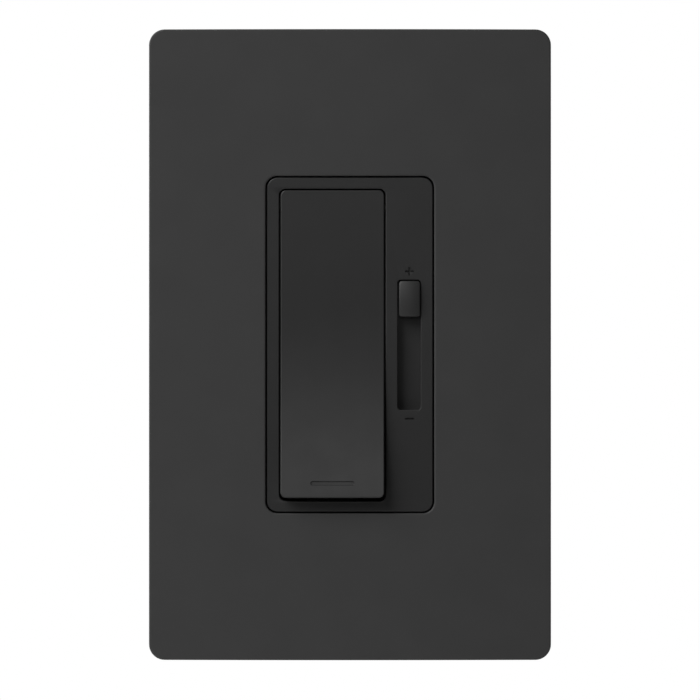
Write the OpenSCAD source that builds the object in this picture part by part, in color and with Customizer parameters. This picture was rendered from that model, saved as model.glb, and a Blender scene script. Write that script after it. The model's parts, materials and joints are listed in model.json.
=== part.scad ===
// Slide dimmer switch with a press paddle and a screwless wall plate.
// +Z is up, the front faces -Y, and y = 0 is the wall surface that the strap lies on.
// The origin is midway between the two screws that hold the strap to the wall box.

/* [Wall plate] */
// Width of the wall plate
plate_w = 79.7; // [79:0.1:82]
// Height of the wall plate
plate_h = 125; // [124.5:0.1:127]
// Radius of the plate's outer corners
plate_corner = 3.1; // [2.5:0.1:4]
// How far the middle of the plate's face stands off the wall
plate_front = 7.4; // [7.2:0.1:7.8]
// How much the face falls away from its middle to its sides
plate_crown = 1.0; // [0.8:0.1:1.2]
// Width of the opening in the plate
opening_w = 33.4; // [33.3:0.1:33.6]
// Height of the opening in the plate
opening_h = 66.8; // [66.7:0.1:67]

/* [Face] */
// Distance from the wall to the face frame's front
face_front = 7.0; // [6.9:0.1:7.1]
// Gap round the face frame, the paddle and the knob
reveal = 0.28; // [0.24:0.02:0.3]
// Width of the paddle's well
well_w = 21; // [20.8:0.1:21.1]
// Height of the paddle's well
well_h = 62; // [61.8:0.1:62.2]
// Sideways place of the well's middle
well_x = -3.56; // [-3.6:0.01:-3.5]
// Sideways place of the slider's middle
slot_x = 11.73; // [11.7:0.01:11.8]
// Width of the slider's slot
slot_w = 4.62; // [4.5:0.01:4.7]
// Height of the slider's slot
slot_h = 25.9; // [25.7:0.1:26]

/* [Controls] */
// Angle that the paddle turns through when it is pressed
press_angle = 2; // [1.6:0.1:2]
// Height of the slider knob
knob_h = 7.03; // [6.9:0.01:7.2]
// How far the knob stands out of the face
knob_proud = 1.2; // [1:0.1:1.4]
// Radius of the sweep in the lower half of the paddle
sweep_radius = 220; // [215:5:240]

/* [Rear] */
// Width of the housing behind the wall
housing_w = 44.2; // [44:0.1:44.6]
// Height of the housing
housing_h = 67; // [66.8:0.1:67.4]
// Depth of the housing behind the wall surface
housing_d = 30; // [30:0.5:32]

/* [Hidden] */
$fn = 48;
eps = 0.01;           // overrun of a cut past the face that it opens
fine_fn = 240;        // segments of the large crown curves

// Plate shell
plate_wall = 1.8;
plate_skin = 2.0;
plate_opening_corner = 2.3;
crown_radius = (pow(plate_w / 2, 2) + pow(plate_crown, 2)) / (2 * plate_crown);
collar_t = 1.2;
catch_len = 12;
catch_reach = 1.0;
catch_rear = -0.6;
catch_front = -1.5;
pry_w = 7;
pry_d = 1.6;

// Strap
strap_t = 1.6;
strap_front = -strap_t;
strap_w = 66;
strap_mid_h = 76;
strap_h = 106;
ear_w = 44.4;
box_screw_z = 83.34 / 2;
plate_screw_z = 96.84 / 2;
box_slot = [6.6, 4.2];
box_neck_r = 1.55;
box_thread_r = 1.75;
tap_r = 1.5;
score_x = 24.2;
score_w = 1.2;
score_d = 0.5;
tab_x = -14.5;        // ground tab, bent back out of a window in the strap
tab_w = 9;
tab_reach = 9;
tab_z = -strap_mid_h / 2;
ground_y = 4.8;

// Plate carrier
carrier_front = -3.8;
carrier_gap = 0.35;
carrier_w = plate_w - 2 * plate_wall - 2 * carrier_gap;
carrier_h = plate_h - 2 * plate_wall - 2 * carrier_gap;
carrier_opening_gap = 0.3;
carrier_rib_front = -4.6;
head_clear_r = 5;

// Insulating sheet between the strap and the face
sheet_t = 0.2;
sheet_front = strap_front - sheet_t;
sheet_corner = 2.0;
sheet_gap = 0.1;

// Face frame
face_w = opening_w - 2 * reveal;
face_h = opening_h - 2 * reveal;
face_corner = 2.1;
face_skin = 2.0;
face_rear = -face_front + face_skin;
face_side = 1.25;
well_corner = 1.3;
slot_corner = 0.6;
web_x0 = well_x + well_w / 2;
web_t = 1.2;
mark_depth = 0.3;
mark_w = 0.32;
mark_len = 1.8;
mark_z = 14.65;
leg_z = 22;
leg_w = 5;
leg_t = 1.1;
leg_x = face_w / 2 - 0.1 - leg_t / 2;
hook_reach = 0.65;
hook_y0 = 0.05;
hook_y1 = 1.25;
ear_block_z = 5;

// Paddle
paddle_w = well_w - 2 * reveal;
paddle_top = well_h / 2 - reveal;
paddle_bottom = -well_h / 2 + 0.83;
paddle_corner = 1.1;
paddle_skin = 1.6;
paddle_side = 1.3;
sweep_top = 6;
sweep_bottom = -26;
paddle_rear_top = -2.1;
hinge_y = -3.6;
hinge_z = 27.5;
trunnion_r = 0.9;
bearing_r = 0.95;
post_z = -16.5;
post_r = 2;
post_tip = -3.5;
lip_w = 10;

// Slider
knob_w = slot_w - 2 * reveal;
knob_z = slot_h / 2 - reveal - knob_h / 2 - 0.08;
knob_dome = 14;
slider_travel = 18.1;
shutter_front = -4.8;
shutter_rear = -3.8;
shutter_w = 6.4;
shutter_h = 44.8;
boss_rear = -2.0;
peg = [2.0, 4.0];
peg_rear = -3.4;
lever = [1.2, 4.0];
lever_tip = -3.2;
fit_gap = 0.05;

// Housing
housing_wall = 1.8;
housing_corner = 2.5;
housing_chamfer = 3;
inner_w = housing_w - 2 * housing_wall;
inner_h = housing_h - 2 * housing_wall;
housing_floor = housing_d - housing_wall;
boss_x = 18.9;
boss_z = 29.5;
boss_r = 2.6;
pocket_floor_x = 18.3;
pocket_wall = 1.7;
pocket_half_z = 5.2;
pocket_y = 6.5;
terminal_y = 13.5;
terminals = [[-1, 13], [-1, -13], [1, 19]];   // side and height of each terminal
tail_front = 8.2;
tail_half = 2.0;
terminal_screw_r = 1.6;
terminal_head_r = 4.0;
terminal_head = [20.6, 22.8];
terminal_point = 14.4;

// Circuit board
board_front = 9;
board_t = 1.6;
board_rear = board_front + board_t;
board_w = 32;
board_h = 60;
post_x = 13.2;
board_post_z = 27;
board_post_r = 2.4;

// Switch behind the paddle
switch_z = -19.5;
switch_w = 13;
switch_h = 16;
switch_wall = 1.2;
switch_front = 1.2;
switch_base_y = 8.2;
plunger_r = 2.2;
plunger_tip = -3.4;
flange_y = 2.45;
flange_t = 1.0;
plunger_pin_r = 1.0;
plunger_pin_end = 6.2;
spring_r = 1.9;
spring_wire = 0.4;
spring_turns = 4;
spring_end = 8.1;
rocker_z = -23.5;
rocker_y = 6.4;
rocker_tilt = 6;
rocker_half = 4.65;
tip_x = 4.0;
tip_r = 0.9;
contact_y = 7.64;

// Slide potentiometer
pot_front = 2.6;
pot_w = 8;
pot_h = 32;
pot_sheet = 0.7;
carriage_h = 6;

// Power parts
transistor_x = [-9.2, 1.8];
transistor_screw_z = 21.5;
transistor_hole_r = 1.6;
transistor_bolt_r = 1.45;
transistor_tab_rear = 1.5;
nut_t = 2.2;
transistor_top = 24.2;
transistor_split = 18;
transistor_bottom = 9;
lead_z = 6.4;
choke_x = -3;
choke_z = 10;
choke_y = 17;
choke_r = 7.4;

graphite = [0.22, 0.22, 0.22];
face_black = [0.19, 0.19, 0.19];
case_black = [0.07, 0.07, 0.08];

// ---- Shared shapes ----

// Box between two opposite corners
module block(low, high) {
    translate(low) cube(high - low);
}

// Flat outline with round corners, centred
module round_outline(w, h, r) {
    square([w - 2 * r, h], center = true);
    square([w, h - 2 * r], center = true);
    for (x = [-1, 1], z = [-1, 1])
        translate([x * (w / 2 - r), z * (h / 2 - r)]) circle(r);
}

// Outline in the XZ plane, carried from y0 to y1
module slab(w, h, r, y0, y1) {
    translate([0, y1, 0]) rotate([90, 0, 0]) linear_extrude(y1 - y0) round_outline(w, h, r);
}

// Outline with half-round ends, carried from y0 to y1
module slot_slab(size, y0, y1) {
    translate([0, y1, 0]) rotate([90, 0, 0]) linear_extrude(y1 - y0) {
        square([size[0] - size[1], size[1]], center = true);
        for (x = [-1, 1]) translate([x * (size[0] - size[1]) / 2, 0]) circle(size[1] / 2);
    }
}

// Rods along each axis, from the first place to the second
module rod_x(r, x0, x1) {
    translate([x0, 0, 0]) rotate([0, 90, 0]) cylinder(r = r, h = x1 - x0);
}
module rod_y(r, y0, y1) {
    translate([0, y1, 0]) rotate([90, 0, 0]) cylinder(r = r, h = y1 - y0);
}
module rod_z(r, z0, z1) {
    translate([0, 0, z0]) cylinder(r = r, h = z1 - z0);
}
// Cone along Y, radius r0 at y0 and r1 at y1
module cone_y(r0, r1, y0, y1) {
    translate([0, y1, 0]) rotate([90, 0, 0]) cylinder(r1 = r1, r2 = r0, h = y1 - y0);
}

// Pan-head screw along Y: the head is in front of y0 and the shank runs to y1
module pan_screw(head_r, head_t, shank_r, y0, y1, recess) {
    difference() {
        union() {
            rod_y(head_r, y0 - head_t, y0);
            rod_y(shank_r, y0 - eps, y1);
        }
        cross_recess(recess, y0 - head_t, head_t * 0.6);
    }
}

// Countersunk screw along Y with its head flush with y0
module flat_screw(head_r, shank_r, y0, y1, recess) {
    cone_t = head_r - shank_r;
    difference() {
        union() {
            cone_y(head_r, shank_r, y0, y0 + cone_t);
            rod_y(shank_r, y0 + cone_t - eps, y1);
        }
        cross_recess(recess, y0, cone_t * 0.7);
    }
}

// Cross-shaped driver recess in a face at y
module cross_recess(reach, y, depth) {
    for (a = [0, 90]) rotate([0, a, 0])
        block([-reach, y - eps, -reach / 5], [reach, y + depth, reach / 5]);
}

// ---- Trim ----

// Block with the plate's outline, set in from it, and a front curved from side to side
module crowned_block(inset, front_inset, y1) {
    intersection() {
        slab(plate_w - 2 * inset, plate_h - 2 * inset, max(plate_corner - inset, 0.8),
            -plate_front - 1, y1);
        translate([0, crown_radius - plate_front, -plate_h])
            cylinder(r = crown_radius - front_inset, h = 2 * plate_h, $fn = fine_fn);
    }
}

module wall_plate() {
    inner_x = plate_w / 2 - plate_wall;
    inner_z = plate_h / 2 - plate_wall;
    color(graphite) difference() {
        union() {
            difference() {
                crowned_block(0, 0, 0);
                crowned_block(plate_wall, plate_skin, 1);
            }
            // Collar round the opening, which stops against the carrier
            slab(opening_w + 2 * collar_t, opening_h + 2 * collar_t, plate_opening_corner,
                -plate_front + plate_skin - 1, carrier_front - 0.1);
            // Catches that hook behind the carrier's edge
            for (s = [-1, 1], z = [-38, 0, 38])
                translate([s * (inner_x - catch_reach / 2 + 0.1), 0, z])
                    block([-catch_reach / 2 - 0.1, catch_front, -catch_len / 2],
                        [catch_reach / 2 + 0.1, catch_rear, catch_len / 2]);
            for (s = [-1, 1], x = [-20, 20])
                translate([x, 0, s * (inner_z - catch_reach / 2 + 0.1)])
                    block([-catch_len / 2, catch_front, -catch_reach / 2 - 0.1],
                        [catch_len / 2, catch_rear, catch_reach / 2 + 0.1]);
        }
        slab(opening_w, opening_h, plate_opening_corner, -plate_front - 1, 1);
        // Notch for a screwdriver in the bottom edge
        block([-pry_w / 2, -pry_d, -plate_h / 2 - 1], [pry_w / 2, 1, -plate_h / 2 + plate_wall + 1]);
    }
}

module plate_carrier() {
    color(case_black) difference() {
        union() {
            slab(carrier_w, carrier_h, 1.4, carrier_front, strap_front);
            // Stiffening ribs on the front
            difference() {
                slab(62, 102, 3, carrier_rib_front, carrier_front + eps);
                slab(59.6, 99.6, 1.8, carrier_rib_front - 1, carrier_front + 1);
            }
            for (s = [-1, 1], x = [-12, 12])
                translate([x, 0, s * 43])
                    block([-0.6, carrier_rib_front, -7.5], [0.6, carrier_front + eps, 7.5]);
        }
        slab(opening_w + 2 * carrier_opening_gap, opening_h + 2 * carrier_opening_gap,
            plate_opening_corner, carrier_rib_front - 1, 0);
        for (s = [-1, 1]) {
            translate([0, 0, s * box_screw_z]) rod_y(head_clear_r, carrier_rib_front - 1, 0);
            translate([0, 0, s * plate_screw_z]) {
                rod_y(2, carrier_rib_front - 1, 0);
                cone_y(3.45, 1.6, carrier_front - eps, carrier_front + 1.85);
                rod_y(3.45, carrier_rib_front - 1, carrier_front);
            }
        }
        // Levelling windows in the corners, which also save plastic
        for (x = [-1, 1], z = [-1, 1])
            translate([x * 26.5, 0, z * 44]) slab(12, 18, 2, carrier_rib_front - 1, 0);
    }
}

module carrier_screws() {
    color("silver") for (s = [-1, 1])
        translate([0, 0, s * plate_screw_z]) flat_screw(3.3, 1.45, carrier_front, 5.7, 1.6);
}

module face_frame() {
    inner_x = face_w / 2 - face_side;
    inner_z = face_h / 2 - face_side;
    web_x1 = web_x0 + web_t;
    color(face_black) difference() {
        union() {
            difference() {
                slab(face_w, face_h, face_corner, -face_front, sheet_front);
                block([-inner_x, face_rear, -inner_z], [inner_x, 0, inner_z]);
            }
            // Wall between the paddle's bay and the slider's
            block([web_x0, face_rear - eps, -inner_z - eps], [web_x1, sheet_front, inner_z + eps]);
            // Bearing block for the left trunnion
            block([-inner_x - eps, face_rear - eps, hinge_z - ear_block_z / 2],
                [well_x - well_w / 2, sheet_front, hinge_z + ear_block_z / 2]);
            // Snap legs that pass through the strap
            for (s = [-1, 1], z = [-leg_z, leg_z]) {
                block([s * leg_x - leg_t / 2, strap_front - 1, z - leg_w / 2],
                    [s * leg_x + leg_t / 2, hook_y1, z + leg_w / 2]);
                translate([s * (leg_x + leg_t / 2 + hook_reach / 2 - eps), 0, z])
                    block([-hook_reach / 2 - eps, hook_y0, -leg_w / 2],
                        [hook_reach / 2 + eps, hook_y1, leg_w / 2]);
            }
        }
        translate([well_x, 0, 0]) slab(well_w, well_h, well_corner, -face_front - 1, face_rear + eps);
        translate([slot_x, 0, 0]) slab(slot_w, slot_h, slot_corner, -face_front - 1, face_rear + eps);
        // Bearings of the paddle
        translate([0, hinge_y, hinge_z]) {
            rod_x(bearing_r, -inner_x, well_x - well_w / 2 + 1);
            rod_x(bearing_r, web_x0 - 1, web_x1 + 1);
        }
        // Plus and minus marks
        translate([slot_x, -face_front, mark_z]) {
            block([-mark_len / 2, -1, -mark_w / 2], [mark_len / 2, mark_depth, mark_w / 2]);
            block([-mark_w / 2, -1, -mark_len / 2], [mark_w / 2, mark_depth, mark_len / 2]);
        }
        translate([slot_x, -face_front, -mark_z])
            block([-mark_len / 2, -1, -mark_w / 2], [mark_len / 2, mark_depth, mark_w / 2]);
    }
}

// Black insulating film behind the face, with openings for all that passes through it
module insulating_sheet() {
    opening = 2 * (carrier_opening_gap - sheet_gap);
    color(case_black) difference() {
        slab(opening_w + opening, opening_h + opening, sheet_corner, sheet_front, strap_front);
        translate([well_x, 0, post_z]) slab(7, 7, 1, -3, 1);
        translate([slot_x, 0, 0]) slab(3.2, 24.2, 1, -3, 1);
        for (s = [-1, 1], z = [-leg_z, leg_z])
            translate([s * 15.5, 0, z])
                block([-0.95, -3, -leg_w / 2 - 0.3], [0.95, 1, leg_w / 2 + 0.3]);
        for (x = transistor_x) translate([x, 0, transistor_screw_z]) rod_y(3, -3, 1);
    }
}

// ---- Paddle ----

// Depth of the paddle's face at a height: flat, then an arc, then its tangent
function arc_drop(dz) = sweep_radius - sqrt(pow(sweep_radius, 2) - pow(dz, 2));
sweep_slope = asin((sweep_top - sweep_bottom) / sweep_radius);
function face_y(z) = z >= sweep_top ? -face_front
    : z >= sweep_bottom ? -face_front - arc_drop(sweep_top - z)
    : -face_front - arc_drop(sweep_top - sweep_bottom) - (sweep_bottom - z) * tan(sweep_slope);
// The skirt's rear edge lies parallel to the strap when the paddle is pressed
function paddle_rear(z) = paddle_rear_top - max(hinge_z - z, 0) * tan(press_angle);

// Solid between the face, set back by an offset, and a rear line
module paddle_prism(w, top, bottom, offset_y, open_rear) {
    steps = 16;
    heights = concat([top], [for (i = [0:steps]) sweep_top + (sweep_bottom - sweep_top) * i / steps],
        [bottom]);
    points = concat([for (z = heights) [face_y(z) + offset_y, z]],
        open_rear ? [[0, bottom], [0, top]]
            : [[paddle_rear(bottom), bottom], [paddle_rear(hinge_z), hinge_z], [paddle_rear_top, top]]);
    rotate([90, 0, 90]) linear_extrude(w, center = true) polygon(points);
}

module paddle_outline(inset) {
    height = paddle_top - paddle_bottom;
    translate([0, 0, (paddle_top + paddle_bottom) / 2])
        slab(paddle_w - 2 * inset, height - 2 * inset, max(paddle_corner - inset, 0.4), -12, 0);
}

module paddle() {
    half_w = paddle_w / 2;
    inner_top = paddle_top - paddle_side;
    inner_bottom = paddle_bottom + paddle_side;
    color(face_black) translate([well_x, 0, 0]) {
        difference() {
            intersection() {
                paddle_outline(0);
                paddle_prism(paddle_w + 1, paddle_top + 1, paddle_bottom - 1, 0, false);
            }
            intersection() {
                paddle_outline(paddle_side);
                paddle_prism(paddle_w, paddle_top, paddle_bottom, paddle_skin, true);
            }
        }
        // Ribs and the post that presses the switch, all inside the skin
        intersection() {
            paddle_prism(paddle_w - 1, inner_top + 0.2, inner_bottom - 0.2, paddle_skin - 0.2, true);
            union() {
                block([-0.6, -12, -27], [0.6, -4.0, 27]);
                for (z = [-25, -8, 8])
                    block([-paddle_w / 2 + 1, -12, z - 0.6], [paddle_w / 2 - 1, -4.9, z + 0.6]);
                translate([0, 0, post_z]) rod_y(post_r, -12, post_tip);
            }
        }
        // Trunnions
        translate([0, hinge_y, hinge_z]) {
            rod_x(trunnion_r, -half_w - 1.0, -half_w + 1);
            rod_x(trunnion_r, half_w - 1, half_w + 1.2);
        }
        // Lip that stops the paddle against the back of the face frame
        block([-lip_w / 2, face_rear + 0.05, -well_h / 2 - 0.5],
            [lip_w / 2, face_rear + 0.85, paddle_bottom + 0.5]);
    }
}

// ---- Slider ----

module slider_knob() {
    front = -face_front - knob_proud;
    color(face_black) translate([slot_x, 0, knob_z]) {
        intersection() {
            slab(knob_w, knob_h, 0.5, front - 1, shutter_front - fit_gap);
            translate([0, front + knob_dome, 0]) sphere(knob_dome, $fn = fine_fn);
        }
        block([-peg[0] / 2, shutter_front - 0.5, -peg[1] / 2], [peg[0] / 2, peg_rear, peg[1] / 2]);
    }
}

module dust_shutter() {
    color(face_black) translate([slot_x, 0, knob_z]) difference() {
        union() {
            slab(shutter_w, shutter_h, 0.6, shutter_front, shutter_rear);
            block([-2.6, shutter_rear - eps, -3.6], [2.6, boss_rear, 3.6]);
        }
        block([-peg[0] / 2 - fit_gap, shutter_front - 1, -peg[1] / 2 - fit_gap],
            [peg[0] / 2 + fit_gap, 0, peg[1] / 2 + fit_gap]);
    }
}

module pot_carriage() {
    color("ivory") translate([slot_x, 0, knob_z]) {
        block([-3, 3.6, -carriage_h / 2], [3, 7.0, carriage_h / 2]);
        block([-lever[0] / 2, lever_tip, -lever[1] / 2], [lever[0] / 2, 4, lever[1] / 2]);
    }
}

module pot_wiper() {
    color("goldenrod") translate([slot_x, 0, knob_z]) {
        block([-2.4, 7.0, -2.2], [2.4, 7.3, 2.2]);
        for (x = [-1.8, -0.6, 0.6, 1.8])
            translate([x, 0, 0]) {
                block([-0.35, 7.25, -2.2], [0.35, 7.55, -0.2]);
                block([-0.35, 7.5, -0.8], [0.35, 7.9, -0.2]);
            }
    }
}

module pot_frame() {
    x0 = slot_x - pot_w / 2;
    x1 = slot_x + pot_w / 2;
    color("lightgrey") difference() {
        block([x0, pot_front, -pot_h / 2], [x1, board_front, pot_h / 2]);
        block([x0 + pot_sheet, pot_front + pot_sheet, -pot_h / 2 + pot_sheet],
            [x1 - pot_sheet, board_front + 1, pot_h / 2 - pot_sheet]);
        block([slot_x - 1, pot_front - 1, -11.8], [slot_x + 1, pot_front + 1, 11.8]);
    }
}

module pot_track() {
    half_w = pot_w / 2 - pot_sheet - 0.05;
    half_h = pot_h / 2 - pot_sheet - 0.05;
    color("saddlebrown") block([slot_x - half_w, 8.0, -half_h], [slot_x + half_w, board_front, half_h]);
}

// ---- Strap ----

module mounting_strap() {
    color("silver") difference() {
        union() {
            slab(strap_w, strap_mid_h, 2, strap_front, 0);
            slab(ear_w, strap_h, 3, strap_front, 0);
            // Ground tab, bent back
            block([tab_x - tab_w / 2, strap_front, tab_z - strap_t], [tab_x + tab_w / 2, tab_reach, tab_z]);
        }
        for (s = [-1, 1]) {
            translate([0, 0, s * box_screw_z]) slot_slab(box_slot, -3, 1);
            translate([0, 0, s * plate_screw_z]) rod_y(tap_r, -3, 1);
            // Score lines where the side fins break off
            for (y = [strap_front, 0])
                translate([s * score_x, y, -strap_mid_h]) rotate(45)
                    block([-score_d, -score_d, 0], [score_d, score_d, 2 * strap_mid_h]);
            // Slots for the face frame's legs
            for (z = [-leg_z, leg_z])
                translate([s * 15.5, 0, z])
                    block([-0.95, -3, -leg_w / 2 - 0.3], [0.95, 1, leg_w / 2 + 0.3]);
            for (z = [-boss_z, boss_z])
                translate([s * boss_x, 0, z]) {
                    rod_y(1.5, -3, 1);
                    cone_y(2.75, 1.45, strap_front - eps, strap_front + 1.3);
                }
        }
        // Windows for the plunger and the potentiometer's lever
        translate([well_x, 0, post_z]) slab(7, 7, 1, -3, 1);
        translate([slot_x, 0, 0]) slab(3.2, 24.2, 1, -3, 1);
        for (x = transistor_x) translate([x, 0, transistor_screw_z]) rod_y(transistor_hole_r, -3, 1);
        translate([tab_x, ground_y, 0]) rod_z(tap_r, tab_z - strap_t - 1, tab_z + 1);
        // Window that the ground tab is bent out of
        block([tab_x - tab_w / 2, -3, tab_z - 2 * strap_t - tab_reach],
            [tab_x + tab_w / 2, 1, tab_z - strap_t]);
    }
}

// Captive screws: a thin neck lies inside the strap, and the thread starts behind it
module box_screws() {
    color("silver") for (s = [-1, 1])
        translate([0, 0, s * box_screw_z]) {
            pan_screw(3.3, 2.4, box_neck_r, strap_front, 0.3, 1.9);
            rod_y(box_thread_r, 0.25, strap_front + 25.4);
        }
}

module screw_retainers() {
    color("white") for (s = [-1, 1])
        translate([0, 0, s * box_screw_z]) difference() {
            slot_slab([box_slot[0] - 0.1, box_slot[1] - 0.1], strap_front, 0);
            rod_y(box_neck_r + 0.1, -3, 1);
        }
}

module ground_screw() {
    head_z = tab_z - strap_t - 1.2;
    color("green") translate([tab_x, ground_y, 0]) difference() {
        union() {
            rod_z(tap_r - 0.05, head_z - 0.1, tab_z + 4);
            rod_z(3.9, head_z - 0.9, head_z);
            translate([0, 0, head_z - 3]) cylinder(r = 3.4, h = 2.2, $fn = 6);
        }
        block([-4, -0.55, head_z - 3.5], [4, 0.55, head_z - 2]);
    }
}

// ---- Housing ----

// Case outline with its rear edges chamfered
module chamfered_case(w, h, r, y0, y1, chamfer) {
    intersection() {
        slab(w, h, r, y0, y1);
        translate([0, 0, -h]) linear_extrude(2 * h)
            polygon([[-w / 2, y0], [w / 2, y0], [w / 2, y1 - chamfer], [w / 2 - chamfer, y1],
                [-w / 2 + chamfer, y1], [-w / 2, y1 - chamfer]]);
        rotate([90, 0, 90]) linear_extrude(2 * w, center = true)
            polygon([[y0, -h / 2], [y1 - chamfer, -h / 2], [y1, -h / 2 + chamfer],
                [y1, h / 2 - chamfer], [y1 - chamfer, h / 2], [y0, h / 2]]);
    }
}

module housing() {
    color(case_black) difference() {
        union() {
            difference() {
                chamfered_case(housing_w, housing_h, housing_corner, 0, housing_d, housing_chamfer);
                chamfered_case(inner_w, inner_h, housing_corner - housing_wall, -1, housing_floor,
                    housing_chamfer - 1);
            }
            // Walls round the terminal pockets
            for (t = terminals)
                intersection() {
                    chamfered_case(housing_w, housing_h, housing_corner, 0, housing_d, housing_chamfer);
                    translate([t[0] * (pocket_floor_x - pocket_wall + 2.5), 0, t[1]])
                        block([-2.5, pocket_y - 1.6, -pocket_half_z - 1.6],
                            [2.5, housing_floor + eps, pocket_half_z + 1.6]);
                }
            // Bosses for the screws from the strap
            for (x = [-1, 1], z = [-1, 1])
                translate([x * boss_x, 0, z * boss_z]) rod_y(boss_r, 0, 14);
            // Posts that carry the circuit board
            for (x = [-1, 1], z = [-1, 1])
                translate([x * post_x, 0, z * board_post_z])
                    rod_y(board_post_r, board_rear, housing_floor + eps);
        }
        for (x = [-1, 1], z = [-1, 1])
            translate([x * boss_x, 0, z * boss_z]) rod_y(1.2, -1, 10);
        for (x = [-1, 1])
            translate([x * post_x, 0, x * board_post_z]) rod_y(1.15, board_rear - 1, 18);
        for (t = terminals) translate([0, 0, t[1]]) {
            // Pocket, open to the side and to the rear
            translate([t[0] * (pocket_floor_x + 5), 0, 0])
                block([-5, pocket_y, -pocket_half_z], [5, housing_d + 1, pocket_half_z]);
            // Clearance for the screw's point and for the terminal's tail
            translate([0, terminal_y, 0]) rod_x(terminal_screw_r + 0.3, t[0] * 17.5 - 3, t[0] * 17.5 + 3);
            translate([t[0] * 17.5, 0, 0])
                block([-2, tail_front - 0.1, -tail_half - 0.1], [2, board_front + 0.1, tail_half + 0.1]);
        }
        // Strip-gauge groove across the rear face
        block([-9, housing_d - 0.5, -20.6], [9, housing_d + 1, -19.4]);
        block([-9.6, housing_d - 0.5, -22], [-8.4, housing_d + 1, -18]);
        block([8.4, housing_d - 0.5, -22], [9.6, housing_d + 1, -18]);
    }
}

module housing_screws() {
    color("silver") for (x = [-1, 1], z = [-1, 1])
        translate([x * boss_x, 0, z * boss_z]) flat_screw(2.6, 1.15, strap_front, 9, 1.3);
}

module terminal_plates() {
    color("gold") for (t = terminals)
        translate([0, 0, t[1]]) difference() {
            union() {
                translate([t[0] * (pocket_floor_x + 0.55), 0, 0])
                    block([-0.5, pocket_y + 0.4, -4.8], [0.5, 19, 4.8]);
                translate([t[0] * 16.3, 0, 0])
                    block([-2.3, tail_front, -tail_half], [2.3, board_front, tail_half]);
            }
            translate([0, terminal_y, 0]) rod_x(terminal_screw_r + 0.08, t[0] * 18.8 - 2, t[0] * 18.8 + 2);
        }
}

module terminal_screws() {
    color("gold") for (t = terminals)
        translate([0, terminal_y, t[1]]) rotate([0, 0, t[0] > 0 ? 0 : 180]) difference() {
            union() {
                rod_x(terminal_screw_r, terminal_point, terminal_head[0] + eps);
                rod_x(terminal_head_r, terminal_head[0], terminal_head[1]);
            }
            block([terminal_head[1] - 1.1, -0.6, -5], [terminal_head[1] + 1, 0.6, 5]);
        }
}

// ---- Circuit board and switch ----

module circuit_board() {
    color("darkgreen") difference() {
        block([-board_w / 2, board_front, -board_h / 2], [board_w / 2, board_rear, board_h / 2]);
        for (x = [-1, 1])
            translate([x * post_x, 0, x * board_post_z]) rod_y(1.3, 0, 20);
        for (x = transistor_x, i = [-1, 0, 1])
            translate([x + i * 2.54, 0, lead_z]) rod_y(0.55, 0, 20);
    }
}

module board_screws() {
    color("silver") for (x = [-1, 1])
        translate([x * post_x, 0, x * board_post_z]) pan_screw(2.0, 1.4, 1.1, board_front, 16, 1.0);
}

module switch_cover() {
    half_w = switch_w / 2;
    half_h = switch_h / 2;
    color("dimgrey") difference() {
        translate([well_x, 0, switch_z])
            block([-half_w, switch_front, -half_h], [half_w, switch_base_y, half_h]);
        translate([well_x, 0, switch_z])
            block([-half_w + switch_wall, switch_front + switch_wall, -half_h + switch_wall],
                [half_w - switch_wall, board_front, half_h - switch_wall]);
        translate([well_x, 0, post_z]) rod_y(plunger_r + 0.08, 0, 4);
    }
}

module switch_base() {
    color("black") translate([well_x, 0, switch_z])
        block([-switch_w / 2, switch_base_y, -switch_h / 2], [switch_w / 2, board_front, switch_h / 2]);
}

module switch_plunger() {
    color("white") translate([well_x, 0, post_z]) {
        intersection() {
            rod_y(plunger_r, plunger_tip, flange_y + eps);
            translate([0, plunger_tip + 8, 0]) sphere(8, $fn = fine_fn);
        }
        block([-3.5, flange_y, -3.5], [3.5, flange_y + flange_t, 3.5]);
        rod_y(plunger_pin_r, flange_y, plunger_pin_end);
    }
}

// Ring of points round a helix along Y, at turn t of the whole coil
function coil_ring(t, sides) =
    let (a = 360 * spring_turns * t,
        y = flange_y + flange_t + spring_wire / 2 + 0.02
            + t * (spring_end - flange_y - flange_t - spring_wire))
    [for (i = [0:sides - 1])
        let (b = 360 * i / sides, r = spring_r + spring_wire / 2 * cos(b))
        [r * cos(a), y + spring_wire / 2 * sin(b), r * sin(a)]];

module plunger_spring() {
    sides = 8;
    rings = spring_turns * 14;
    points = [for (k = [0:rings]) each coil_ring(k / rings, sides)];
    walls = [for (k = [0:rings - 1], i = [0:sides - 1])
        [k * sides + i, k * sides + (i + 1) % sides, (k + 1) * sides + (i + 1) % sides, (k + 1) * sides + i]];
    ends = [[for (i = [sides - 1:-1:0]) i], [for (i = [0:sides - 1]) rings * sides + i]];
    color("silver") translate([well_x, 0, post_z]) polyhedron(points, concat(walls, ends), convexity = 8);
}

// Rocking contact, at rest with its right end towards the board
module rocker_pose() {
    translate([well_x, rocker_y, rocker_z]) rotate(rocker_tilt) children();
}

module contact_rocker() {
    color("goldenrod") rocker_pose() {
        block([-rocker_half, -0.2, -1.5], [rocker_half, 0.2, 1.5]);
        rod_z(0.5, -2.4, 2.4);
    }
}

module rocker_tips() {
    color("white") rocker_pose() for (x = [-tip_x, tip_x])
        translate([x, 0, 0]) rod_y(tip_r, 0.2, 0.7);
}

module common_terminal() {
    color("goldenrod") translate([well_x, 0, rocker_z]) difference() {
        union() {
            block([-1.2, 7.8, -2.3], [1.2, switch_base_y, 2.3]);
            for (s = [-1, 1]) translate([0, 0, s * 2.1]) block([-1.2, 5.4, -0.2], [1.2, switch_base_y, 0.2]);
        }
        translate([0, rocker_y, 0]) rod_z(0.55, -3, 3);
    }
}

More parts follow.
